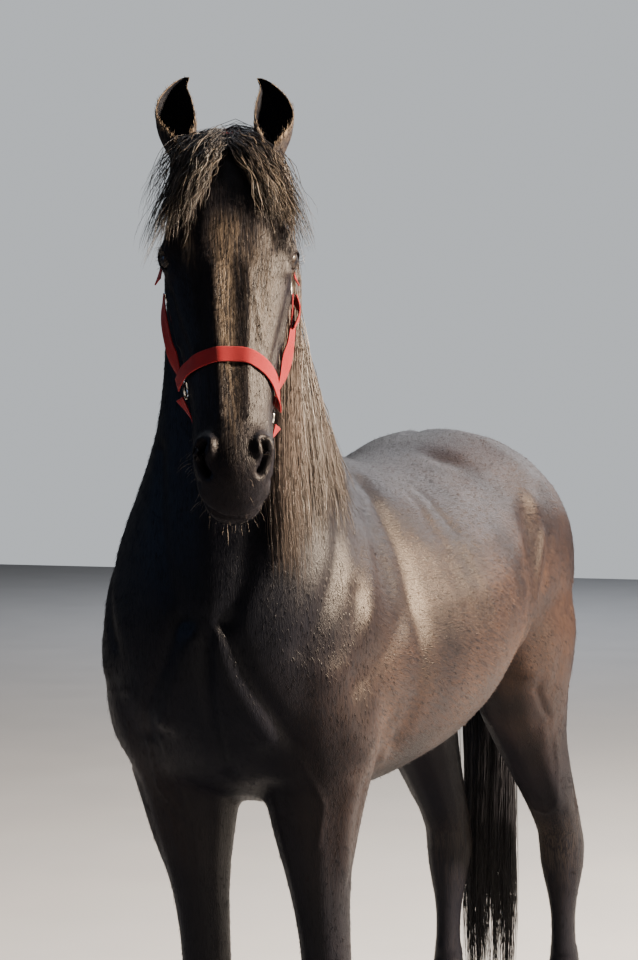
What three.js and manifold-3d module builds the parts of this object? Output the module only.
// A Friesian horse that stands at ease, its head up and turned to the left, in a red webbing halter.
// Millimetres, Z up, the floor at Z = 0. The horse faces -Y, so its left side is +X.
import * as THREE from 'three';
import { LoftGeometry } from 'three/addons/geometries/LoftGeometry.js';
import { mergeVertices } from 'three/addons/utils/BufferGeometryUtils.js';
import Module from 'manifold-3d';

const wasm = await Module();
wasm.setup();

// Driving dimensions. "Ahead" is measured from the fore legs towards the head.
const GAP = 0.35; // left between nodes that touch
const CLEAR = 0.7; // grown on to a curved body before a neighbour is cut by it
const HIND_AHEAD = -1465; // mean place of the hind feet
const HIND_STEP = 60; // the left hind foot stands this far behind the mean, the right one ahead of it
const STEP_TOP = 1250; // the step fades out at this height
const FORE_OUT = { left: 124, right: 118 }; // fore feet from the midline
const HIND_OUT = { left: 170, right: 102 };
const HIND_SWAY = -30; // the croup against the hind feet
const SWAY_FROM = 560; // the legs lean between these heights
const SWAY_TO = 930;
const CHEST_SWAY = -28; // the chest stands this far to the right of the fore feet
const HEAD_TURN = THREE.MathUtils.degToRad(27); // the head looks this far to the left of the body
const HEAD_ROLL = THREE.MathUtils.degToRad(-0.2);
const NECK_PIVOT = 205; // ahead; the neck turns round the upright line through it
const POLL = { ahead: 462, up: 2084 }; // where the line of the face starts, before the head turns
const FACE_TILT = THREE.MathUtils.degToRad(22); // of the face from upright
const CENTRE = { out: 0, ahead: -482 }; // middle of the horse's box, which becomes the origin
const LEFT = 1;
const RIGHT = -1;

// A point from its distance ahead of the fore legs, its height, and its distance out to the left.
const at = (ahead, up, out = 0) => new THREE.Vector3(out, -ahead, up);

// The same point after the neck has turned by a share of the head's turn.
const UPRIGHT = new THREE.Vector3(0, 0, 1);
const SIDEWAYS = new THREE.Vector3(1, 0, 0);
const pivot = at(NECK_PIVOT, 0);
const turned = (point, share) =>
  point.clone().sub(pivot).applyAxisAngle(UPRIGHT, HEAD_TURN * share).add(pivot);

// Numbers between 0 and 1 that are the same on every run.
function seeded(seed) {
  let state = seed;
  return () => {
    state = (state * 1664525 + 1013904223) % 4294967296;
    return state / 4294967296;
  };
}

// Rows of sizes, smoothed into more rows. Every row has the same keys.
function smoothed(rows, count) {
  const keys = Object.keys(rows[0]);
  const curves = keys.map((key) =>
    new THREE.SplineCurve(rows.map((row, i) => new THREE.Vector2(i, row[key]))));
  return Array.from({ length: count }, (_, i) =>
    Object.fromEntries(keys.map((key, k) => [key, curves[k].getPoint(i / (count - 1)).y])));
}

// A closed ring between its top and its bottom point, broadest at a share of its height.
// A roundness of 1 is an ellipse, less is squarer and more is leaner.
function ring({ top, bottom, side, half, wide, roundTop, roundLow }, points) {
  const up = top.clone().sub(bottom);
  const centre = bottom.clone().addScaledVector(up, wide);
  return Array.from({ length: points }, (_, i) => {
    const angle = (i / points) * Math.PI * 2;
    const [c, s] = [Math.cos(angle), Math.sin(angle)];
    const roundness = s > 0 ? roundTop : roundLow;
    const across = half * Math.sign(c) * Math.abs(c) ** roundness;
    const along = (s > 0 ? 1 - wide : wide) * Math.sign(s) * Math.abs(s) ** roundness;
    return centre.clone().addScaledVector(side, across).addScaledVector(up, along);
  });
}

const middle = (points) =>
  points.reduce((sum, point) => sum.add(point), new THREE.Vector3()).divideScalar(points.length);

// The way a ring of points winds, as the normal of its plane.
function windingOf(points) {
  const normal = new THREE.Vector3();
  points.forEach((p, i) => {
    const q = points[(i + 1) % points.length];
    normal.x += (p.y - q.y) * (p.z + q.z);
    normal.y += (p.z - q.z) * (p.x + q.x);
    normal.z += (p.x - q.x) * (p.y + q.y);
  });
  return normal;
}

// A loft through rings, with its surface pushed out by grow on every side.
function loft(sections, grow = 0) {
  const centres = sections.map(middle);
  const last = sections.length - 1;
  const grown = sections.map((section, i) => {
    const [before, after] = [centres[Math.max(i - 1, 0)], centres[Math.min(i + 1, last)]];
    const end = i === 0 ? -1 : Number(i === last);
    const shift = after.clone().sub(before).normalize().multiplyScalar(end * grow);
    return section.map((point) => {
      const outward = point.clone().sub(centres[i]).normalize();
      return point.clone().addScaledVector(outward, grow).add(shift);
    });
  });
  const widest = grown[Math.floor(last / 2)];
  const ahead = centres[Math.ceil(last / 2) + (last < 2 ? 0 : 1)].clone().sub(centres[Math.floor(last / 2)]);
  if (windingOf(widest).dot(ahead) < 0) grown.forEach((section) => section.reverse());
  return new LoftGeometry(grown, { capStart: true, capEnd: true });
}

// A closed solid from a geometry, facing out whichever way the geometry was wound.
function solid(geometry) {
  const bare = geometry.index ? geometry.toNonIndexed() : geometry.clone();
  const extras = Object.keys(bare.attributes).filter((name) => name !== 'position');
  extras.forEach((name) => bare.deleteAttribute(name));
  const merged = mergeVertices(bare, 1e-3);
  const vertProperties = merged.attributes.position.array;
  const make = (triVerts) => new wasm.Manifold(new wasm.Mesh({ numProp: 3, vertProperties, triVerts }));
  const faces = new Uint32Array(merged.index.array);
  const made = make(faces);
  return made.volume() > 0 ? made : make(faces.reverse());
}

const join = (solids) => wasm.Manifold.union(solids);

// The pieces of a solid, largest first.
const pieces = (made) => made.decompose().sort((a, b) => b.volume() - a.volume());
const largest = (made) => pieces(made)[0];

// A three.js geometry of a solid.
function geometryOf(made) {
  const { vertProperties, triVerts, numProp } = made.getMesh();
  const positions = new Float32Array((vertProperties.length / numProp) * 3);
  for (let i = 0; i < positions.length / 3; i++) {
    positions.set(vertProperties.subarray(i * numProp, i * numProp + 3), i * 3);
  }
  const geometry = new THREE.BufferGeometry();
  geometry.setAttribute('position', new THREE.BufferAttribute(positions, 3));
  geometry.setIndex(new THREE.BufferAttribute(new Uint32Array(triVerts), 1));
  return geometry;
}

// A box that is thin along its normal, to part a limb from the body.
function slab(centre, normal, forward, length, width, thick = GAP) {
  const z = normal.clone().normalize();
  const x = forward.clone().cross(z).normalize();
  const y = z.clone().cross(x);
  const place = new THREE.Matrix4().makeBasis(x, y, z).setPosition(centre);
  return solid(new THREE.BoxGeometry(width, length, thick).applyMatrix4(place));
}

// A surface that can be felt for from outside: the first point that a ray meets, or null.
function feeler(made) {
  const mesh = new THREE.Mesh(geometryOf(made), new THREE.MeshBasicMaterial({ side: THREE.DoubleSide }));
  mesh.updateMatrixWorld(true);
  const raycaster = new THREE.Raycaster();
  return (origin, direction, far = 1000) => {
    raycaster.set(origin, direction);
    raycaster.far = far;
    return raycaster.intersectObject(mesh)[0] ?? null;
  };
}

// Trunk and neck, one skin from the buttocks to the poll.
// topAhead and topUp lie on the topline, lowAhead and lowUp on the underline; turn is a share of the head's.
const TRUNK_POINTS = 22;
const TRUNK_RINGS = 37;
const trunkColumns = [
  'topAhead', 'topUp', 'lowAhead', 'lowUp', 'half', 'wide', 'roundTop', 'roundLow', 'turn', 'sway'];
const trunkRows = [
  [-1412, 1345, -1404, 1215, 66, 0.5, 1, 1, 0, 0],
  [-1368, 1448, -1355, 1110, 202, 0.5, 1, 1, 0, 0],
  [-1228, 1548, -1215, 1060, 274, 0.52, 0.9, 1, 0, 0],
  [-1020, 1612, -1030, 1040, 288, 0.52, 0.88, 1, 0, 0],
  [-850, 1592, -860, 1000, 280, 0.5, 0.9, 0.95, 0, 0],
  [-680, 1556, -680, 955, 304, 0.48, 0.96, 0.95, 0, 0],
  [-470, 1538, -460, 915, 320, 0.46, 1.02, 0.95, 0, 0],
  [-270, 1566, -230, 893, 298, 0.44, 1.15, 0.95, 0, 0.4],
  [-130, 1616, -20, 905, 272, 0.42, 1.35, 0.95, 0, 0.9],
  [-86, 1652, 135, 968, 264, 0.4, 1.4, 0.92, 0, 1],
  [-48, 1704, 238, 1090, 232, 0.38, 1.35, 0.9, 0.02, 0.9],
  [-8, 1772, 284, 1235, 172, 0.4, 1.2, 0.95, 0.08, 0.5],
  [34, 1846, 288, 1370, 130, 0.42, 1.15, 1, 0.2, 0.1],
  [78, 1918, 276, 1500, 108, 0.46, 1.15, 1, 0.36, 0],
  [132, 1986, 262, 1620, 97, 0.48, 1.15, 1, 0.54, 0],
  [205, 2042, 252, 1725, 90, 0.5, 1.1, 1, 0.74, 0],
  [300, 2080, 258, 1820, 82, 0.5, 1, 1, 0.92, 0],
  [420, 2082, 336, 1890, 66, 0.5, 1, 1, 1, 0],
].map((row) => Object.fromEntries(trunkColumns.map((name, i) => [name, row[i]])));
const trunkStations = smoothed(trunkRows, TRUNK_RINGS).map((row) => ({
  ...row,
  top: turned(at(row.topAhead, row.topUp, CHEST_SWAY * row.sway), row.turn),
  bottom: turned(at(row.lowAhead, row.lowUp, CHEST_SWAY * row.sway), row.turn),
  side: SIDEWAYS.clone().applyAxisAngle(UPRIGHT, HEAD_TURN * row.turn),
}));
const trunk = (grow) => solid(loft(trunkStations.map((station) => ring(station, TRUNK_POINTS)), grow));

// Legs, from rows of height, place, and reach to the side, to the front and to the back
const LEG_POINTS = 12;
const foreRows = [
  { up: 1330, ahead: 84, out: -34, wide: 56, fore: 60, aft: 60 },
  { up: 1240, ahead: 80, out: 4, wide: 98, fore: 112, aft: 122 },
  { up: 1150, ahead: 66, out: 22, wide: 114, fore: 134, aft: 146 },
  { up: 1060, ahead: 40, out: 22, wide: 114, fore: 134, aft: 148 },
  { up: 975, ahead: 8, out: 8, wide: 104, fore: 114, aft: 130 },
  { up: 900, ahead: 0, out: 4, wide: 88, fore: 90, aft: 98 },
  { up: 835, ahead: 0, out: 2, wide: 73, fore: 76, aft: 78 },
  { up: 765, ahead: 0, out: 0, wide: 57, fore: 62, aft: 62 },
  { up: 690, ahead: 0, out: 0, wide: 49, fore: 52, aft: 52 },
  { up: 610, ahead: 0, out: 0, wide: 46, fore: 47, aft: 48 },
  { up: 550, ahead: 0, out: 0, wide: 47, fore: 49, aft: 46 },
  { up: 500, ahead: 0, out: 0, wide: 53, fore: 55, aft: 47 },
  { up: 455, ahead: 0, out: 0, wide: 48, fore: 49, aft: 44 },
  { up: 412, ahead: 0, out: 0, wide: 36, fore: 38, aft: 41 },
  { up: 340, ahead: 0, out: 0, wide: 32, fore: 34, aft: 42 },
  { up: 290, ahead: 0, out: 0, wide: 35, fore: 37, aft: 45 },
  { up: 240, ahead: 2, out: 0, wide: 44, fore: 44, aft: 53 },
  { up: 200, ahead: 10, out: 0, wide: 39, fore: 41, aft: 47 },
  { up: 155, ahead: 30, out: 0, wide: 38, fore: 42, aft: 41 },
  { up: 110, ahead: 50, out: 0, wide: 48, fore: 61, aft: 50 },
  { up: 40, ahead: 62, out: 0, wide: 56, fore: 66, aft: 60 },
];
const hindRows = [
  { up: 1400, ahead: 345, out: -34, wide: 90, fore: 140, aft: 130 },
  { up: 1290, ahead: 335, out: -14, wide: 112, fore: 192, aft: 208 },
  { up: 1190, ahead: 315, out: 4, wide: 131, fore: 226, aft: 258 },
  { up: 1095, ahead: 293, out: 5, wide: 129, fore: 212, aft: 240 },
  { up: 1010, ahead: 262, out: 3, wide: 115, fore: 182, aft: 196 },
  { up: 920, ahead: 212, out: 0, wide: 97, fore: 148, aft: 148 },
  { up: 830, ahead: 150, out: 0, wide: 83, fore: 114, aft: 114 },
  { up: 750, ahead: 96, out: 0, wide: 71, fore: 94, aft: 93 },
  { up: 680, ahead: 54, out: 0, wide: 61, fore: 76, aft: 84 },
  { up: 620, ahead: 20, out: 0, wide: 54, fore: 64, aft: 92 },
  { up: 572, ahead: 4, out: 0, wide: 56, fore: 61, aft: 82 },
  { up: 520, ahead: 0, out: 0, wide: 53, fore: 58, aft: 62 },
  { up: 468, ahead: 0, out: 0, wide: 42, fore: 47, aft: 50 },
  { up: 420, ahead: 0, out: 0, wide: 32, fore: 39, aft: 43 },
  { up: 355, ahead: 0, out: 0, wide: 29, fore: 35, aft: 41 },
  { up: 300, ahead: 0, out: 0, wide: 33, fore: 38, aft: 44 },
  { up: 252, ahead: 2, out: 0, wide: 43, fore: 44, aft: 53 },
  { up: 210, ahead: 10, out: 0, wide: 39, fore: 41, aft: 47 },
  { up: 160, ahead: 30, out: 0, wide: 37, fore: 42, aft: 40 },
  { up: 112, ahead: 50, out: 0, wide: 47, fore: 60, aft: 49 },
  { up: 40, ahead: 62, out: 0, wide: 55, fore: 65, aft: 59 },
];
const LEG_RINGS = 25;
const limbs = [
  { name: 'left_fore', rows: foreRows, ahead: 0, out: FORE_OUT.left, side: LEFT, step: 0, sway: CHEST_SWAY },
  { name: 'right_fore', rows: foreRows, ahead: 0, out: FORE_OUT.right, side: RIGHT, step: 0, sway: CHEST_SWAY },
  { name: 'left_hind', rows: hindRows, ahead: HIND_AHEAD, out: HIND_OUT.left, side: LEFT, step: HIND_STEP },
  { name: 'right_hind', rows: hindRows, ahead: HIND_AHEAD, out: HIND_OUT.right, side: RIGHT, step: -HIND_STEP },
].map((limb) => ({ sway: HIND_SWAY, ...limb }));
const stepAt = (limb, up) => limb.step * (1 - THREE.MathUtils.smoothstep(up, 0, STEP_TOP));
const swayAt = (limb, up) => limb.sway * THREE.MathUtils.smoothstep(up, SWAY_FROM, SWAY_TO);

function leg(limb, grow) {
  const sections = smoothed(limb.rows, LEG_RINGS).map((row) => {
    const out = limb.side * (limb.out + row.out) + swayAt(limb, row.up);
    const centre = at(limb.ahead + row.ahead - stepAt(limb, row.up), row.up, out);
    return Array.from({ length: LEG_POINTS }, (_, i) => {
      const angle = (i / LEG_POINTS) * Math.PI * 2;
      const [c, s] = [Math.cos(angle), Math.sin(angle)];
      return centre.clone().add(at((s > 0 ? row.fore : row.aft) * s, 0, row.wide * c));
    });
  });
  return solid(loft(sections, grow));
}

// Hooves: a cone that widens to the ground, its top cut along the slope of the coronet
const HOOF = { toeUp: 92, heelUp: 44, topWide: 54, topLong: 60, wide: 68, long: 76, toe: 12, points: 14 };
const coronetSlope = (HOOF.toeUp - HOOF.heelUp) / (2 * HOOF.topLong);
const footCentre = (limb) => at(limb.ahead + 60 - limb.step, 0, limb.side * limb.out);
const coronetNormal = new THREE.Vector3(0, coronetSlope, 1).normalize();
const coronetPoint = (limb) => footCentre(limb).setZ((HOOF.toeUp + HOOF.heelUp) / 2);

function hoof(limb, grow = 0) {
  const heights = [1.25, 1, 0.5, 0];
  const sections = heights.map((share) => Array.from({ length: HOOF.points }, (_, i) => {
    const angle = (i / HOOF.points) * Math.PI * 2;
    const [c, s] = [Math.cos(angle), Math.sin(angle)];
    const wide = THREE.MathUtils.lerp(HOOF.wide, HOOF.topWide, share);
    const long = THREE.MathUtils.lerp(HOOF.long, HOOF.topLong, share);
    const ahead = HOOF.toe * (1 - share) + long * s;
    const crown = (HOOF.toeUp + HOOF.heelUp) / 2 + coronetSlope * HOOF.topLong * s;
    return footCentre(limb).add(at(ahead, crown * share, wide * c));
  }));
  const cone = solid(loft(sections, grow));
  return cone.trimByPlane(coronetNormal.clone().negate().toArray(),
    -coronetNormal.dot(coronetPoint(limb)) + GAP / 2 - grow);
}

// Head, in its own frame: x to the left, y from the jaw to the forehead, z down the face from the poll
const HEAD_POINTS = 20;
const faceRows = [
  { z: -30, top: -62, low: -140, half: 38, wide: 0.6, roundTop: 1, roundLow: 1 },
  { z: -4, top: -24, low: -176, half: 62, wide: 0.6, roundTop: 1, roundLow: 1 },
  { z: 34, top: -4, low: -200, half: 78, wide: 0.6, roundTop: 0.95, roundLow: 1 },
  { z: 84, top: 7, low: -205, half: 88, wide: 0.64, roundTop: 0.85, roundLow: 1.05 },
  { z: 140, top: 11, low: -196, half: 98, wide: 0.66, roundTop: 0.8, roundLow: 1.1 },
  { z: 205, top: 9, low: -178, half: 106, wide: 0.68, roundTop: 0.78, roundLow: 1.15 },
  { z: 268, top: 4, low: -158, half: 97, wide: 0.62, roundTop: 0.82, roundLow: 1.05 },
  { z: 330, top: 0, low: -142, half: 85, wide: 0.56, roundTop: 0.88, roundLow: 1 },
  { z: 394, top: -3, low: -128, half: 73, wide: 0.5, roundTop: 0.92, roundLow: 0.92 },
  { z: 452, top: -5, low: -116, half: 63, wide: 0.5, roundTop: 0.92, roundLow: 0.88 },
  { z: 502, top: -4, low: -109, half: 60, wide: 0.5, roundTop: 0.9, roundLow: 0.82 },
  { z: 545, top: 0, low: -105, half: 64, wide: 0.48, roundTop: 0.85, roundLow: 0.8 },
  { z: 580, top: -5, low: -104, half: 62, wide: 0.46, roundTop: 0.86, roundLow: 0.8 },
  { z: 612, top: -22, low: -105, half: 51, wide: 0.45, roundTop: 0.9, roundLow: 0.8 },
  { z: 636, top: -46, low: -103, half: 36, wide: 0.45, roundTop: 0.95, roundLow: 0.85 },
  { z: 647, top: -66, low: -97, half: 18, wide: 0.5, roundTop: 1, roundLow: 1 },
];
const jawRows = [
  { z: 74, top: -120, low: -214, half: 36, wide: 0.5, roundTop: 1, roundLow: 1 },
  { z: 108, top: -96, low: -262, half: 66, wide: 0.5, roundTop: 0.9, roundLow: 0.9 },
  { z: 158, top: -82, low: -288, half: 84, wide: 0.55, roundTop: 0.8, roundLow: 0.9 },
  { z: 220, top: -80, low: -286, half: 89, wide: 0.55, roundTop: 0.8, roundLow: 0.9 },
  { z: 282, top: -80, low: -258, half: 82, wide: 0.55, roundTop: 0.8, roundLow: 0.9 },
  { z: 342, top: -88, low: -218, half: 66, wide: 0.5, roundTop: 0.9, roundLow: 0.9 },
  { z: 410, top: -90, low: -182, half: 52, wide: 0.5, roundTop: 0.9, roundLow: 0.9 },
  { z: 480, top: -92, low: -160, half: 45, wide: 0.5, roundTop: 0.9, roundLow: 0.85 },
  { z: 542, top: -95, low: -152, half: 46, wide: 0.5, roundTop: 0.9, roundLow: 0.85 },
  { z: 588, top: -99, low: -153, half: 44, wide: 0.5, roundTop: 0.9, roundLow: 0.9 },
  { z: 622, top: -104, low: -144, half: 33, wide: 0.5, roundTop: 1, roundLow: 1 },
  { z: 636, top: -110, low: -128, half: 16, wide: 0.5, roundTop: 1, roundLow: 1 },
];

// From the head's frame to the horse's: tilt of the face, roll, then the turn of the neck.
const headFrame = new THREE.Matrix4();
{
  const [s, c] = [Math.sin(FACE_TILT), Math.cos(FACE_TILT)];
  const tilt = new THREE.Matrix4().makeBasis(
    new THREE.Vector3(1, 0, 0), new THREE.Vector3(0, -c, s), new THREE.Vector3(0, -s, -c));
  const start = at(POLL.ahead, POLL.up).sub(pivot);
  headFrame.makeTranslation(pivot)
    .multiply(new THREE.Matrix4().makeRotationZ(HEAD_TURN))
    .multiply(new THREE.Matrix4().makeTranslation(start))
    .multiply(new THREE.Matrix4().makeRotationY(HEAD_ROLL))
    .multiply(tilt);
}
const headSolid = (geometry) => solid(geometry.applyMatrix4(headFrame));
const alongHead = (rows, count, grow) =>
  loft(smoothed(rows, count).map((row) => ring({
    ...row,
    top: new THREE.Vector3(0, row.top, row.z),
    bottom: new THREE.Vector3(0, row.low, row.z),
    side: SIDEWAYS,
  }, HEAD_POINTS)), grow);

const ball = (radius, across = 12, down = 7) => new THREE.SphereGeometry(radius, across, down);

// Eyes: a ball in a socket, with lids round an almond opening
const EYE = { x: 86, y: -40, z: 214, radius: 24, lid: 5, long: 40, high: 26 };
const EYE_OUT = new THREE.Vector3(0.86, 0.36, 0.36).normalize(); // the way the left eye looks

// A frame at an eye, z the way it looks and x along the slit of the lids.
function eyeFrame(side) {
  const out = new THREE.Vector3(side * EYE_OUT.x, EYE_OUT.y, EYE_OUT.z);
  const slit = new THREE.Vector3(0, 0.22, 1).projectOnPlane(out).normalize();
  const rise = out.clone().cross(slit);
  return new THREE.Matrix4().makeBasis(slit, rise, out).setPosition(side * EYE.x, EYE.y, EYE.z);
}

function almond(long, high, depth) {
  const shape = new THREE.Shape();
  shape.moveTo(-long / 2, 0);
  shape.quadraticCurveTo(0, high, long / 2, 0);
  shape.quadraticCurveTo(0, -high, -long / 2, 0);
  return new THREE.ExtrudeGeometry(shape, { depth, bevelEnabled: false, curveSegments: 5 });
}

// Nostrils: a raised wing with a comma-shaped hollow in it
const NOSTRIL = { x: 48, y: -20, z: 556, lean: 0.5 };
function nostrilFrame(side) {
  const out = new THREE.Vector3(side * 0.74, 0.52, 0.42).normalize();
  const slit = new THREE.Vector3(side * NOSTRIL.lean, 0.35, -1).projectOnPlane(out).normalize();
  return new THREE.Matrix4().makeBasis(slit, out.clone().cross(slit), out)
    .setPosition(side * NOSTRIL.x, NOSTRIL.y, NOSTRIL.z);
}

// The line of the mouth, a thin curved cut between the lips
const MOUTH = { back: 552, front: 665, y: -104, thick: 3 };
function mouthCut() {
  const shape = new THREE.Shape();
  shape.moveTo(MOUTH.back, MOUTH.y + 3);
  shape.quadraticCurveTo(600, MOUTH.y - 4, MOUTH.front, MOUTH.y + 2);
  shape.lineTo(MOUTH.front, MOUTH.y + 2 + MOUTH.thick);
  shape.quadraticCurveTo(600, MOUTH.y - 4 + MOUTH.thick, MOUTH.back, MOUTH.y + 3.6);
  const slot = new THREE.ExtrudeGeometry(shape, { depth: 44, bevelEnabled: false, curveSegments: 5 });
  // shape x runs down the face and shape y towards the forehead
  const place = new THREE.Matrix4().makeBasis(
    new THREE.Vector3(0, 0, 1), new THREE.Vector3(0, 1, 0), new THREE.Vector3(-1, 0, 0));
  return slot.applyMatrix4(place);
}

function headForm(grow = 0) {
  const forms = [headSolid(alongHead(faceRows, 23, grow)), headSolid(alongHead(jawRows, 14, grow))];
  [LEFT, RIGHT].forEach((side) => {
    const frame = eyeFrame(side);
    const brow = ball(1).scale(EYE.radius * 1.3 + grow, EYE.radius * 1.16 + grow, EYE.radius + EYE.lid + grow);
    forms.push(headSolid(brow.applyMatrix4(frame)));
    const wing = ball(1, 12, 8).scale(27 + grow, 19 + grow, 15 + grow);
    forms.push(headSolid(wing.applyMatrix4(nostrilFrame(side))));
  });
  return join(forms);
}

let head = headForm();
const eyes = [LEFT, RIGHT].map((side) => {
  const frame = eyeFrame(side);
  const socket = headSolid(ball(EYE.radius + GAP, 10, 7).applyMatrix4(frame));
  const slit = headSolid(almond(EYE.long, EYE.high, 80).applyMatrix4(frame));
  const hollow = headSolid(ball(1, 10, 8).scale(17, 8.5, 22)
    .applyMatrix4(new THREE.Matrix4().makeTranslation(0, 0, 10)).applyMatrix4(nostrilFrame(side)));
  const lips = mouthCut().applyMatrix4(new THREE.Matrix4().makeTranslation(side > 0 ? 64 : -20, 0, 0));
  head = head.subtract(socket).subtract(slit).subtract(hollow).subtract(headSolid(lips));
  return headSolid(ball(EYE.radius, 10, 7).applyMatrix4(frame));
});

// Ears: a leaf rolled to a cup that is open to the front, on a stump at the side of the poll.
// t is a share of the length, half is half the breadth, deep is the cup's depth, open is half its mouth.
const EAR = { x: 66, y: -34, z: 34, length: 172 };
const earRows = [
  { t: -0.16, x: -6, y: -10, half: 25, deep: 23, open: 0.4, hollow: 0.3 },
  { t: 0, x: 0, y: 0, half: 25, deep: 25, open: 0.42, hollow: 0.3 },
  { t: 0.16, x: 7, y: 1, half: 29, deep: 27, open: 0.62, hollow: 0.86 },
  { t: 0.34, x: 13, y: 3, half: 32, deep: 26, open: 0.9, hollow: 0.86 },
  { t: 0.54, x: 16, y: 7, half: 31, deep: 23, open: 1.05, hollow: 0.84 },
  { t: 0.74, x: 13, y: 12, half: 24, deep: 17, open: 1.2, hollow: 0.8 },
  { t: 0.9, x: 5, y: 17, half: 13, deep: 10, open: 1.3, hollow: 0.66 },
  { t: 1, x: -5, y: 20, half: 3.5, deep: 3, open: 1.4, hollow: 0.4 },
];
const EAR_STEPS = 8;
function ear(side, grow = 0) {
  const sections = smoothed(earRows, 9).map((row) => {
    const place = (angle, scale) => new THREE.Vector3(
      side * (row.x + row.half * scale * Math.sin(angle)),
      row.y + row.deep * scale * Math.cos(angle),
      -EAR.length * row.t);
    const sweep = (i) => row.open + (i / EAR_STEPS) * (Math.PI * 2 - 2 * row.open);
    const outer = Array.from({ length: EAR_STEPS + 1 }, (_, i) => place(sweep(i), 1));
    const inner = Array.from({ length: EAR_STEPS + 1 }, (_, i) => place(sweep(EAR_STEPS - i), row.hollow));
    return [...outer, ...inner];
  });
  const lean = new THREE.Matrix4().makeRotationX(-FACE_TILT * 0.75).setPosition(side * EAR.x, EAR.y, EAR.z);
  return headSolid(loft(sections, grow).applyMatrix4(lean));
}

// The cut behind the cheek that parts the head from the neck, in the head's frame
const partingLine = [
  [70, -64], [0, -36], [-80, -10], [-150, 16], [-210, 50], [-258, 88], [-292, 140], [-304, 200], [-306, 262]];
function partingBand(width, thick) {
  const points = partingLine.map(([y, z]) => new THREE.Vector2(y, z));
  const behind = points.map((point, i) => {
    const [a, b] = [points[Math.max(i - 1, 0)], points[Math.min(i + 1, points.length - 1)]];
    const way = b.clone().sub(a).normalize();
    return point.clone().add(new THREE.Vector2(way.y, -way.x).multiplyScalar(-thick));
  });
  const band = new THREE.ExtrudeGeometry(new THREE.Shape([...points, ...behind.reverse()]),
    { depth: width, bevelEnabled: false });
  band.translate(0, 0, -width / 2);
  // shape x is the head's y, shape y is its z
  return headSolid(band.applyMatrix4(new THREE.Matrix4().makeBasis(
    new THREE.Vector3(0, 1, 0), new THREE.Vector3(0, 0, 1), new THREE.Vector3(1, 0, 0))));
}

// All the flesh as one body, then parted where a person would name the parts
const whole = largest(join([trunk(0), head, ...limbs.map((limb) => leg(limb, 0))]));
const [bodyPart, headPart] = pieces(whole.subtract(partingBand(500, GAP)));

let rest = bodyPart;
// Each leg parts from the body along a slope: ahead and up give its middle, rise is its slope outwards.
const BREAK = {
  fore: { ahead: 0, up: 902, rise: 0.5, long: 300, wide: 350 },
  hind: { ahead: HIND_AHEAD + 250, up: 990, rise: 0.4, long: 500, wide: 330 },
};
limbs.forEach((limb) => {
  const cut = limb.rows === foreRows ? BREAK.fore : BREAK.hind;
  const normal = new THREE.Vector3(-limb.side * cut.rise, 0, 1);
  const centre = at(cut.ahead, cut.up, limb.side * limb.out + limb.sway);
  [rest, limb.flesh] = pieces(rest.subtract(slab(centre, normal, at(1, 0), cut.long, cut.wide)));
});

const NECK_BASE = { topAhead: -30, topUp: 1735, lowAhead: 288, lowUp: 1310 };
const neckRun = NECK_BASE.lowAhead - NECK_BASE.topAhead;
const neckDrop = NECK_BASE.topUp - NECK_BASE.lowUp;
const neckSlab = slab(
  at((NECK_BASE.topAhead + NECK_BASE.lowAhead) / 2, (NECK_BASE.topUp + NECK_BASE.lowUp) / 2),
  at(neckDrop, neckRun), at(neckRun, -neckDrop), 900, 800);
const [torso, neck] = pieces(rest.subtract(neckSlab));

const FETLOCK_TOP = 300; // where the foot's long hair starts
const hooves = limbs.map((limb) => hoof(limb));
const feet = limbs.map((limb) => {
  const crown = coronetNormal.dot(coronetPoint(limb));
  const above = leg(limb, 0).trimByPlane(coronetNormal.toArray(), crown + GAP / 2);
  limb.flesh = limb.flesh.trimByPlane([0, 0, 1], FETLOCK_TOP + GAP / 2);
  return above.trimByPlane([0, 0, -1], -(FETLOCK_TOP - GAP / 2));
});

// A line of hair from its root: it lies on the surface that it is felt from, or hangs clear of it.
// outward and way depend on the share of the length; lift is the hair's height over the surface.
const FEEL = 320;
function fall(touch, { root, outward, way, length, steps, lift }) {
  const line = [root.clone()];
  for (let i = 1; i < steps.length; i++) {
    const out = outward(steps[i]);
    const next = line[i - 1].clone().addScaledVector(way(steps[i]), (steps[i] - steps[i - 1]) * length);
    const hit = touch(next.clone().addScaledVector(out, FEEL), out.clone().negate(), FEEL * 2);
    const inside = hit ? hit.point.clone().sub(next).dot(out) + lift : 0;
    line.push(next.addScaledVector(out, Math.max(inside, 0)));
  }
  return line;
}

// A flat lock along a line of hair, tapered from its middle to a fine tip, with a ridge on its outer side
const ROOT_SHARE = 0.34;
const TIP_SHARE = 0.12;
const FULL_AT = 0.4; // share of the length where a lock is broadest
function lock(line, off, breadth, thick) {
  const last = line.length - 1;
  return solid(loft(line.map((point, i) => {
    const t = i / last;
    const size = t < FULL_AT ? THREE.MathUtils.lerp(ROOT_SHARE, 1, t / FULL_AT)
      : THREE.MathUtils.lerp(1, TIP_SHARE, (t - FULL_AT) / (1 - FULL_AT));
    const way = line[Math.min(i + 1, last)].clone().sub(line[Math.max(i - 1, 0)]).normalize();
    const across = way.clone().cross(off(t)).normalize();
    const ridge = across.clone().cross(way);
    return [
      point.clone().addScaledVector(across, -size * breadth / 2),
      point.clone().addScaledVector(across, size * breadth / 2),
      point.clone().addScaledVector(ridge, size * thick)];
  })));
}

const touchBody = feeler(whole);
const touchHead = feeler(head);
const DOWN = new THREE.Vector3(0, 0, -1);

// Mane: it grows along the crest from the withers to the poll and falls on the left side.
const MANE = { first: 24, last: 35, long: 700, short: 430, rise: 13, half: 24, locks: 12, breadth: 73, thick: 9 };
const MANE_LIFTS = [12, 24]; // neighbouring locks lie over each other
const MANE_STEPS = [0, 0.07, 0.16, 0.3, 0.6, 1];
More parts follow.
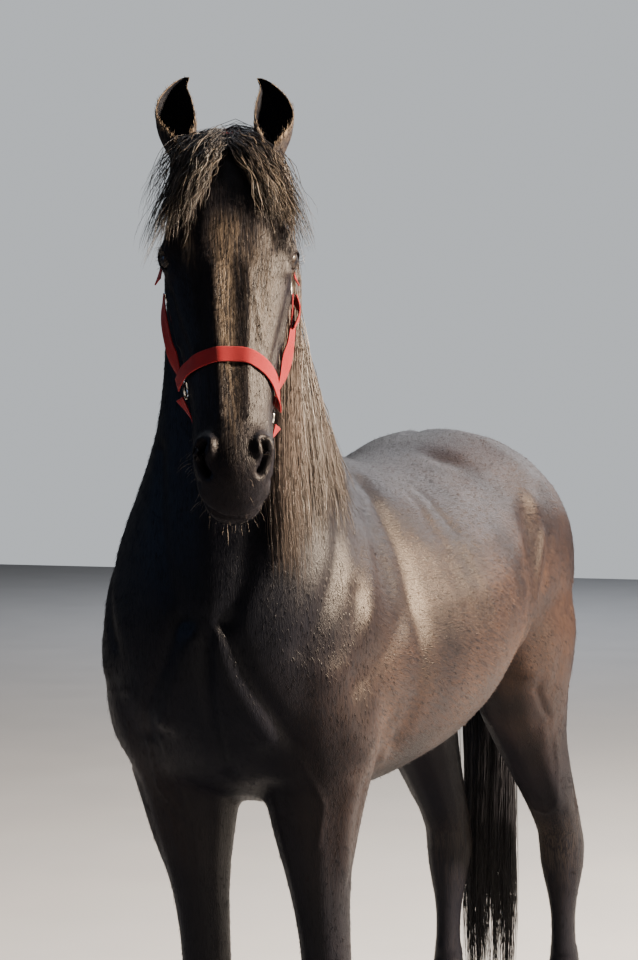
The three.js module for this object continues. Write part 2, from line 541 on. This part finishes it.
// Hair at the withers falls ahead of plumb, and hair at the poll falls behind it.
const MANE_LEAN = { from: 20, to: 420, withers: -0.27, poll: 0.14 };
function crestRoot(share) {
  const place = MANE.first + share * (MANE.last - MANE.first);
  const [low, high] = [trunkStations[Math.floor(place)], trunkStations[Math.ceil(place)]];
  const mix = place - Math.floor(place);
  return {
    top: low.top.clone().lerp(high.top, mix),
    side: low.side.clone().lerp(high.side, mix).normalize(),
    ahead: THREE.MathUtils.lerp(low.topAhead, high.topAhead, mix),
  };
}
const maneLength = (share) => THREE.MathUtils.lerp(MANE.short, MANE.long, Math.min(share * 1.9, 1));
function maneLock(share, length, lift, drift, breadth) {
  const { top, side, ahead } = crestRoot(share);
  const backward = side.clone().cross(UPRIGHT).negate();
  const nearPoll = THREE.MathUtils.clamp(THREE.MathUtils.inverseLerp(MANE_LEAN.from, MANE_LEAN.to, ahead), 0, 1);
  const slope = THREE.MathUtils.lerp(MANE_LEAN.withers, MANE_LEAN.poll, nearPoll);
  const way = DOWN.clone().addScaledVector(backward, slope + drift);
  const outward = (t) => UPRIGHT.clone().lerp(side, Math.min(t / 0.18, 1)).normalize();
  const line = fall(touchBody, {
    root: top.clone().addScaledVector(UPRIGHT, MANE.rise * 0.6), outward, length, steps: MANE_STEPS, lift,
    way: (t) => way.clone().addScaledVector(side, Math.max(1.1 - t * 5, 0)).normalize(),
  });
  return lock(line, outward, breadth, MANE.thick);
}
function crestStrip() {
  const sections = trunkStations.slice(MANE.first, MANE.last + 1).map(({ top, side }) => ring({
    top: top.clone().addScaledVector(UPRIGHT, MANE.rise), bottom: top.clone().addScaledVector(DOWN, MANE.rise),
    side, half: MANE.half, wide: 0.5, roundTop: 1, roundLow: 1 }, 8));
  return solid(loft(sections));
}
function maneForm() {
  const draw = seeded(7);
  const locks = Array.from({ length: MANE.locks }, (_, i) => {
    const share = 0.015 + 0.965 * ((i + 0.3 * draw()) / (MANE.locks - 0.5));
    const length = maneLength(share) * (0.86 + 0.22 * draw());
    const drift = 0.06 * (draw() - 0.5);
    return maneLock(share, length, MANE_LIFTS[i % 2], drift, MANE.breadth * (0.9 + 0.15 * draw()));
  });
  return join([crestStrip(), ...locks]);
}

// Forelock: it grows between the ears and falls over the forehead, parted to both sides.
const FORELOCK = { y: -12, z: 22, half: 40, high: 24, long: 28, locks: 10, drop: 240, breadth: 38, thick: 7 };
const FORELOCK_LIFTS = [2.5, 11];
const FORELOCK_STEPS = [0, 0.13, 0.3, 0.5, 0.74, 1];
function forelockLock(spread, length, lift, breadth) {
  const root = new THREE.Vector3(spread * FORELOCK.half * 0.72, FORELOCK.y + 15, FORELOCK.z - 10);
  const outward = new THREE.Vector3(spread * 0.9, 1, 0).normalize().transformDirection(headFrame);
  const way = (t) => new THREE.Vector3(spread * 0.3 + Math.sign(spread) * (0.62 - 0.5 * t), 0, 1)
    .normalize().transformDirection(headFrame);
  const line = fall(touchBody, {
    root: root.applyMatrix4(headFrame), outward: () => outward, way, length, steps: FORELOCK_STEPS, lift });
  return lock(line, () => outward, breadth, FORELOCK.thick);
}
function forelockForm() {
  const draw = seeded(11);
  const cap = ball(1, 10, 6).scale(FORELOCK.half, FORELOCK.high, FORELOCK.long)
    .translate(0, FORELOCK.y, FORELOCK.z);
  const locks = Array.from({ length: FORELOCK.locks }, (_, i) => {
    const spread = 2 * (i + 0.5) / FORELOCK.locks - 1;
    const length = FORELOCK.drop * (0.66 + 0.26 * Math.abs(spread) + 0.16 * draw());
    return forelockLock(spread, length, FORELOCK_LIFTS[i % 2], FORELOCK.breadth * (0.8 + 0.4 * draw()));
  });
  return join([headSolid(cap), ...locks]);
}

// Tail: the dock, and locks that grow all round it and hang plumb behind the hocks
const dockRows = [
  { ahead: -1366, up: 1440, radius: 30 },
  { ahead: -1424, up: 1446, radius: 38 },
  { ahead: -1474, up: 1408, radius: 38 },
  { ahead: -1502, up: 1330, radius: 34 },
  { ahead: -1516, up: 1230, radius: 28 },
  { ahead: -1524, up: 1120, radius: 20 },
  { ahead: -1530, up: 1010, radius: 8 },
];
const TAIL = {
  locks: 14, top: 1425, rootRun: 300, low: 92, // the heights of the roots, and of the lowest tips
  wide: 74, deep: 34, ahead: -1542, breadth: 52, thick: 15 };
const dockAt = (up) => {
  const next = Math.max(dockRows.findIndex((row, i) => i > 1 && row.up <= up), 2);
  const [a, b] = [dockRows[next - 1], dockRows[next]];
  const mix = THREE.MathUtils.clamp((a.up - up) / (a.up - b.up), 0, 1);
  const between = (key) => THREE.MathUtils.lerp(a[key], b[key], mix);
  return { ahead: between('ahead'), radius: between('radius') };
};
function dock() {
  const places = dockRows.map(({ ahead, up }) => at(ahead, up, HIND_SWAY));
  return solid(loft(dockRows.map(({ radius }, i) => {
    const way = places[Math.min(i + 1, places.length - 1)].clone().sub(places[Math.max(i - 1, 0)]).normalize();
    const rise = SIDEWAYS.clone().cross(way);
    return Array.from({ length: 10 }, (_, k) => {
      const angle = (k / 10) * Math.PI * 2;
      return places[i].clone().addScaledVector(SIDEWAYS, radius * Math.cos(angle))
        .addScaledVector(rise, radius * Math.sin(angle));
    });
  })));
}
function tailForm() {
  const draw = seeded(5);
  const locks = Array.from({ length: TAIL.locks }, (_, i) => {
    const angle = (i * 3 / TAIL.locks) * Math.PI * 2; // neighbours in the loop grow far apart
    const rootUp = TAIL.top - TAIL.rootRun * (i / TAIL.locks);
    const tipUp = TAIL.low + 230 * draw() ** 1.6;
    const spread = 0.8 + 0.2 * draw();
    const off = at(Math.sin(angle), 0, Math.cos(angle));
    const { ahead, radius } = dockAt(rootUp);
    const root = at(ahead + 0.5 * radius * Math.sin(angle), rootUp, HIND_SWAY + 0.5 * radius * Math.cos(angle));
    const hang = (share, up) => at(
      TAIL.ahead + TAIL.deep * spread * share * Math.sin(angle), up,
      HIND_SWAY + TAIL.wide * spread * share * Math.cos(angle) + 6 * Math.sin(up / 150 + angle));
    const run = (t) => THREE.MathUtils.lerp(rootUp, tipUp, t);
    const knee = root.clone().lerp(hang(0.9, run(0.16)), 0.62).setZ(run(0.07));
    const line = [root, knee, hang(0.95, run(0.18)), hang(1, run(0.4)), hang(1, run(0.62)),
      hang(0.9, run(0.82)), hang(0.75, tipUp)];
    return lock(line, () => off, TAIL.breadth * (0.75 + 0.5 * draw()), TAIL.thick);
  });
  return join([dock(), ...locks]);
}

// Feather: locks that grow round the fetlock, longest at the back, and fall over the hoof
const FEATHER = { locks: 7, from: 46, breadth: 62, thick: 9, low: 17 };
const SKIRT = { wide: 90, fore: 92, aft: 74 }; // reach of the tips round the hoof
function featherForm(limb, draw) {
  return Array.from({ length: FEATHER.locks }, (_, i) => {
    const share = (i + 0.5) / FEATHER.locks * 2 - 1; // -1 and 1 at the front of either side, 0 behind
    const angle = Math.PI + share * THREE.MathUtils.degToRad(180 - FEATHER.from);
    const [c, s] = [Math.cos(angle), Math.sin(angle)];
    const behind = (1 - c) / 2;
    const rootUp = THREE.MathUtils.lerp(150, 268, behind);
    const flesh = THREE.MathUtils.lerp(34, 0, behind);
    const reach = c > 0 ? SKIRT.fore : SKIRT.aft;
    const foot = limb.ahead - limb.step;
    const spot = (ahead, up, out) => at(foot + ahead, up, limb.side * limb.out + out);
    const tipUp = FEATHER.low + 12 * draw();
    const tip = spot(60 - 50 * behind * (c < 0 ? 1 : 0) + reach * c, tipUp, SKIRT.wide * s);
    const root = spot(flesh + 24 * c, rootUp, 22 * s);
    const bulge = spot(flesh + 66 * c, rootUp - 38, 60 * s);
    const below = bulge.clone().lerp(tip, 0.5).add(at(6 * c, 0, 8 * s));
    const curve = new THREE.CatmullRomCurve3([root, bulge, below, tip]);
    const line = [0, 0.18, 0.4, 0.7, 1].map((t) => curve.getPoint(t));
    return lock(line, () => at(c, 0, s), FEATHER.breadth * (0.85 + 0.3 * draw()), FEATHER.thick);
  });
}

// Halter: straps that lie on the head, square buckles, and rings where the noseband ends
const WEB = { width: 25, thick: 3, lift: 1.8 };
const RING = { radius: 15, wire: 2.6, clear: 25 };
const BUCKLE = { long: 34, wide: 30, wire: 3.5, clear: 21 };
const CORE_Y = -75; // straps are felt for from this line down the middle of the head

// A place on the head from its angle round the core, 0 at the face and 90 on the left, and its z.
function onHead(degrees, z, lift = 0, touch = touchHead) {
  const angle = THREE.MathUtils.degToRad(degrees);
  const out = new THREE.Vector3(Math.sin(angle), Math.cos(angle), 0).transformDirection(headFrame);
  const core = new THREE.Vector3(0, CORE_Y, z).applyMatrix4(headFrame);
  const hit = touch(core.clone().addScaledVector(out, FEEL), out.clone().negate(), FEEL);
  return { point: hit.point.clone().addScaledVector(out, lift), out };
}

// A strap through places on the head; slack is how far its middle hangs off it.
function strap(route, count, slack = 0, touch = touchHead) {
  const angles = new THREE.SplineCurve(route.map(([degrees, z]) => new THREE.Vector2(degrees, z)));
  const places = Array.from({ length: count }, (_, i) => {
    const spot = angles.getPointAt(i / (count - 1));
    return onHead(spot.x, spot.y, slack * Math.sin((i / (count - 1)) * Math.PI), touch);
  });
  const sections = places.map(({ point, out }, i) => {
    const way = places[Math.min(i + 1, count - 1)].point.clone().sub(places[Math.max(i - 1, 0)].point);
    const across = out.clone().cross(way).normalize();
    const rows = [-0.5, 0, 0.5].map((share) => {
      const spot = point.clone().addScaledVector(across, share * WEB.width);
      const hit = touch(spot.clone().addScaledVector(out, FEEL), out.clone().negate(), FEEL * 1.2);
      const inside = hit ? hit.point.clone().sub(spot).dot(out) : 0;
      return spot.addScaledVector(out, (slack > 0 ? Math.max(inside, 0) : inside) + WEB.lift);
    });
    return [...rows, ...rows.map((spot) => spot.clone().addScaledVector(out, WEB.thick)).reverse()];
  });
  return solid(loft(sections));
}

// A frame that lies flat on the head at a place, its x down the face and its z off the skin.
function flatOn(degrees, z, lift) {
  const [back, front] = [onHead(degrees - 7, z).point, onHead(degrees + 7, z).point];
  const [above, below] = [onHead(degrees, z - 16).point, onHead(degrees, z + 16).point];
  const down = below.sub(above).normalize();
  const off = front.sub(back).cross(down).normalize();
  const { point, out } = onHead(degrees, z);
  off.multiplyScalar(Math.sign(off.dot(out)));
  return new THREE.Matrix4().makeBasis(down, off.clone().cross(down), off)
    .setPosition(point.addScaledVector(off, lift));
}

const NOSEBAND = { middle: 399, left: 69, right: 21, end: 81 };
const nosebandZ = (degrees) => NOSEBAND.middle
  + (degrees > 0 ? NOSEBAND.left : NOSEBAND.right) * (Math.abs(degrees) / 100) ** 1.6;
const ringSpot = (side) => [side * 104, nosebandZ(side * 104)];
const BUCKLE_SPOT = [105, 246];
const halter = {};
const nosebandRoute = Array.from({ length: 13 }, (_, i) => {
  const degrees = NOSEBAND.end * (i / 6 - 1);
  return [degrees, nosebandZ(degrees)];
});
halter.noseband = strap(nosebandRoute, 13);
[LEFT, RIGHT].forEach((side) => {
  const name = side === LEFT ? 'left' : 'right';
  const [ringAngle, ringZ] = ringSpot(side);
  const ringRim = new THREE.TorusGeometry(RING.radius, RING.wire, 5, 12);
  halter[`${name}_ring`] = solid(ringRim.applyMatrix4(flatOn(ringAngle, ringZ, RING.wire + 1.5)));
  halter[`${name}_cheek_strap`] = strap([
    [side * 103, ringZ - RING.clear], [side * 101, 345], [side * 104, BUCKLE_SPOT[1] + BUCKLE.clear]], 7);
  const frame = new THREE.Shape();
  const rim = (shape, long, wide) => shape.moveTo(-long / 2, -wide / 2).lineTo(long / 2, -wide / 2)
    .lineTo(long / 2, wide / 2).lineTo(-long / 2, wide / 2).closePath();
  rim(frame, BUCKLE.long, BUCKLE.wide);
  const hole = new THREE.Path();
  rim(hole, BUCKLE.long - 2 * BUCKLE.wire, BUCKLE.wide - 2 * BUCKLE.wire);
  frame.holes.push(hole);
  const plate = new THREE.ExtrudeGeometry(frame, { depth: BUCKLE.wire, bevelEnabled: false });
  halter[`${name}_buckle`] = solid(plate.applyMatrix4(flatOn(side * BUCKLE_SPOT[0], BUCKLE_SPOT[1], 1.5)));
});
halter.crown_strap = strap([
  [-105, 228], [-107, 160], [-104, 90], [-98, 42], [-80, 8], [-45, -12], [0, -16],
  [45, -12], [80, 8], [98, 42], [104, 90], [107, 160], [105, 228]], 25, 0, touchBody);
halter.throat_strap = strap([[124, 250], [150, 256], [180, 258], [210, 256], [236, 250]], 9, 9);
halter.chin_strap = strap([
  [125, ringSpot(LEFT)[1] + 18], [145, 506], [180, 528], [225, 500], [253, ringSpot(RIGHT)[1] + RING.clear]],
11, 12);
halter.jaw_strap = strap([[180, 276], [180, 400], [180, 508]], 6, 10);

const horse = new THREE.Group();
horse.name = 'friesian_horse';

const FINISH = {
  coat: { color: 0x15100e, roughness: 0.45, metalness: 0 },
  hair: { color: 0x100d0c, roughness: 0.55, metalness: 0 },
  eye: { color: 0x120a06, roughness: 0.1, metalness: 0 },
  hoof: { color: 0x1d1a18, roughness: 0.5, metalness: 0 },
  webbing: { color: 0xd2232d, roughness: 0.8, metalness: 0 },
  metal: { color: 0xc9c4b8, roughness: 0.3, metalness: 1 },
};
function addNode(name, made, finish) {
  const mesh = new THREE.Mesh(geometryOf(made), new THREE.MeshStandardMaterial(FINISH[finish]));
  mesh.name = name;
  mesh.position.set(-CENTRE.out, CENTRE.ahead, 0);
  horse.add(mesh);
}

// Room for the pieces that lie on the head and the neck
const headRoom = headForm(CLEAR);
const neckRoom = trunk(CLEAR);
const earRoom = join([LEFT, RIGHT].map((side) => ear(side, CLEAR)));
const clearOf = (made, ...rooms) => largest(rooms.reduce((left, room) => left.subtract(room), made));

addNode('torso', torso, 'coat');
addNode('neck', neck, 'coat');
addNode('head', headPart, 'coat');
['left', 'right'].forEach((name, i) => {
  addNode(`${name}_eye`, eyes[i], 'eye');
  addNode(`${name}_ear`, clearOf(ear([LEFT, RIGHT][i]), headRoom, neckRoom), 'coat');
});
const featherDraw = seeded(3);
limbs.forEach((limb, i) => {
  addNode(`${limb.name}_leg`, limb.flesh, 'coat');
  const foot = join([feet[i], ...featherForm(limb, featherDraw)]);
  addNode(`${limb.name}_foot`, clearOf(foot, hoof(limb, CLEAR)), 'hair');
  addNode(`${limb.name}_hoof`, hooves[i], 'hoof');
});
const halterRoom = join(Object.values(halter));
const legRoom = join(limbs.map((limb) => leg(limb, CLEAR)));
addNode('mane', clearOf(maneForm(), neckRoom, headRoom, earRoom, halterRoom), 'hair');
addNode('forelock', clearOf(forelockForm(), headRoom, neckRoom, earRoom, halterRoom), 'hair');
addNode('tail', clearOf(tailForm(), neckRoom, legRoom), 'hair');
Object.entries(halter).forEach(([name, made]) => {
  addNode(name, clearOf(made, headRoom, neckRoom, earRoom), /ring|buckle/.test(name) ? 'metal' : 'webbing');
});

export default horse;
